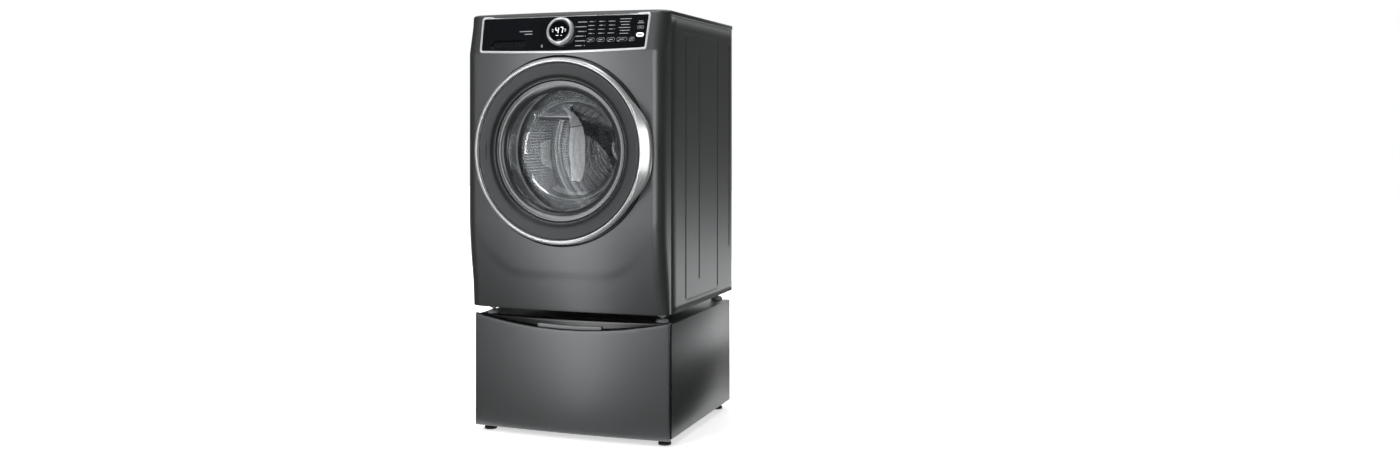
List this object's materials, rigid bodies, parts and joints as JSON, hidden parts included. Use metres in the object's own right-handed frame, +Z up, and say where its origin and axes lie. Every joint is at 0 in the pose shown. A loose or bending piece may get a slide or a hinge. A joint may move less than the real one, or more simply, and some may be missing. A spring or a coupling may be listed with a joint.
{
  "type": "front load washing machine",
  "caption": "Front loading washing machine in satin titanium grey with a round glass door, dial console and detergent drawer, raised on a matching storage pedestal.",
  "frame": {"origin": "on the floor, under the centre of the object's box", "axes": "+Z up, +X to the right seen from the front, the door and console face -Y"},
  "size_m": [0.686, 0.77, 1.36],
  "materials": {
    "titanium_paint": "satin metallic titanium grey",
    "titanium_plastic": "satin metallic grey door moulding",
    "chrome": "polished",
    "aluminium": "spun",
    "satin_grey": "satin grey",
    "gloss_black": "gloss black",
    "display_glass": "gloss dark window",
    "black_plastic": "matte black",
    "grey_plastic": "matte light grey",
    "white_plastic": "matte white",
    "glass": "clear moulded glass",
    "rubber": "moulded elastomer",
    "stainless": "brushed stainless",
    "steel": "bright steel",
    "cast_aluminium": "as cast",
    "galvanised": "galvanised",
    "cast_iron": "raw"
  },
  "bodies": {
    "machine": {"base_pan": "galvanised", "cabinet_wrap": "titanium_paint", "console_fascia": "gloss_black", "console_trim": "chrome", "control_board": "black_plastic", "damper_body_left": "steel", "damper_body_right": "steel", "dial_display": "display_glass", "dispenser_housing": "white_plastic", "door_gasket": "rubber", "door_hinge": "cast_aluminium", "door_lock": "black_plastic", "drain_pump": "grey_plastic", "front_panel": "titanium_paint", "pedestal_cabinet": "titanium_paint", "pedestal_foot_1": "black_plastic", "pedestal_foot_2": "black_plastic", "pedestal_foot_3": "black_plastic", "pedestal_foot_4": "black_plastic", "rear_cover": "galvanised", "suspension_spring_left": "steel", "suspension_spring_right": "steel", "top_cover": "titanium_paint", "washer_foot_1": "grey_plastic", "washer_foot_2": "grey_plastic", "washer_foot_3": "grey_plastic", "washer_foot_4": "grey_plastic"},
    "door": {"door_frame": "titanium_plastic", "door_trim": "aluminium", "door_bezel": "satin_grey", "door_glass": "glass", "door_liner": "black_plastic", "hinge_pin": "steel"},
    "tub": {"tub_front": "white_plastic", "tub_rear": "white_plastic", "counterweight": "cast_iron", "tub_bearing": "steel", "motor": "cast_aluminium", "drive_belt": "rubber", "damper_rod_left": "grey_plastic", "damper_rod_right": "grey_plastic"},
    "drum": {"drum": "stainless", "drum_lifter_1": "grey_plastic", "drum_lifter_2": "grey_plastic", "drum_lifter_3": "grey_plastic", "drum_shaft": "cast_aluminium", "drum_pulley": "cast_aluminium"},
    "motor_rotor": {"motor_pulley": "steel"},
    "dial": {"dial_ring": "aluminium"},
    "dispenser": {"dispenser_front": "gloss_black", "dispenser_tray": "grey_plastic"},
    "pedestal_drawer": {"pedestal_drawer_front": "titanium_paint", "pedestal_drawer_bin": "galvanised"},
    "key_temperature": {"button_temperature": "gloss_black"},
    "key_spin": {"button_spin": "gloss_black"},
    "key_soil": {"button_soil": "gloss_black"},
    "key_options": {"button_options": "gloss_black"},
    "key_delay": {"button_delay": "gloss_black"},
    "key_power": {"button_power": "gloss_black"},
    "key_start": {"button_start": "white_plastic"}
  },
  "joints": [
    {"name": "door_hinge", "type": "hinge", "parent": "machine", "child": "door", "pos_m": [-0.277, -0.364, 0.921], "axis": [0, 0, -1], "range_deg": [0, 120]},
    {"name": "tub_float", "type": "slide", "parent": "machine", "child": "tub", "axis": [0, 0, 1], "range_m": [-0.01, 0.01], "stiffness_N_per_m": 24000, "springref_m": 0.01507, "deforming": ["door_gasket", "suspension_spring_left", "suspension_spring_right"]},
    {"name": "drum_spin", "type": "hinge", "parent": "tub", "child": "drum", "pos_m": [0, 0, 0.921], "axis": [0, 1, 0], "continuous": true},
    {"name": "motor_spin", "type": "hinge", "parent": "tub", "child": "motor_rotor", "pos_m": [0.09, 0, 0.533], "axis": [0, 1, 0], "continuous": true},
    {"name": "dial_turn", "type": "hinge", "parent": "machine", "child": "dial", "pos_m": [0, -0.33963, 1.2955], "axis": [0, -0.9701, 0.2425], "continuous": true},
    {"name": "dispenser_slide", "type": "slide", "parent": "machine", "child": "dispenser", "axis": [0, -1, 0], "range_m": [0, 0.2]},
    {"name": "pedestal_drawer_slide", "type": "slide", "parent": "machine", "child": "pedestal_drawer", "axis": [0, -1, 0], "range_m": [0, 0.42]},
    {"name": "key_temperature_press", "type": "slide", "parent": "machine", "child": "key_temperature", "axis": [0, 0.9701, -0.2425], "range_m": [0, 0.001], "stiffness_N_per_m": 500, "springref_m": -0.001},
    {"name": "key_spin_press", "type": "slide", "parent": "machine", "child": "key_spin", "axis": [0, 0.9701, -0.2425], "range_m": [0, 0.001], "stiffness_N_per_m": 500, "springref_m": -0.001},
    {"name": "key_soil_press", "type": "slide", "parent": "machine", "child": "key_soil", "axis": [0, 0.9701, -0.2425], "range_m": [0, 0.001], "stiffness_N_per_m": 500, "springref_m": -0.001},
    {"name": "key_options_press", "type": "slide", "parent": "machine", "child": "key_options", "axis": [0, 0.9701, -0.2425], "range_m": [0, 0.001], "stiffness_N_per_m": 500, "springref_m": -0.001},
    {"name": "key_delay_press", "type": "slide", "parent": "machine", "child": "key_delay", "axis": [0, 0.9701, -0.2425], "range_m": [0, 0.001], "stiffness_N_per_m": 500, "springref_m": -0.001},
    {"name": "key_power_press", "type": "slide", "parent": "machine", "child": "key_power", "axis": [0, 0.9701, -0.2425], "range_m": [0, 0.001], "stiffness_N_per_m": 500, "springref_m": -0.001},
    {"name": "key_start_press", "type": "slide", "parent": "machine", "child": "key_start", "axis": [0, 0.9701, -0.2425], "range_m": [0, 0.001], "stiffness_N_per_m": 500, "springref_m": -0.001}
  ],
  "couplings": [
    {"joint": "motor_spin", "follows": "drum_spin", "ratio": 8.3333}
  ]
}
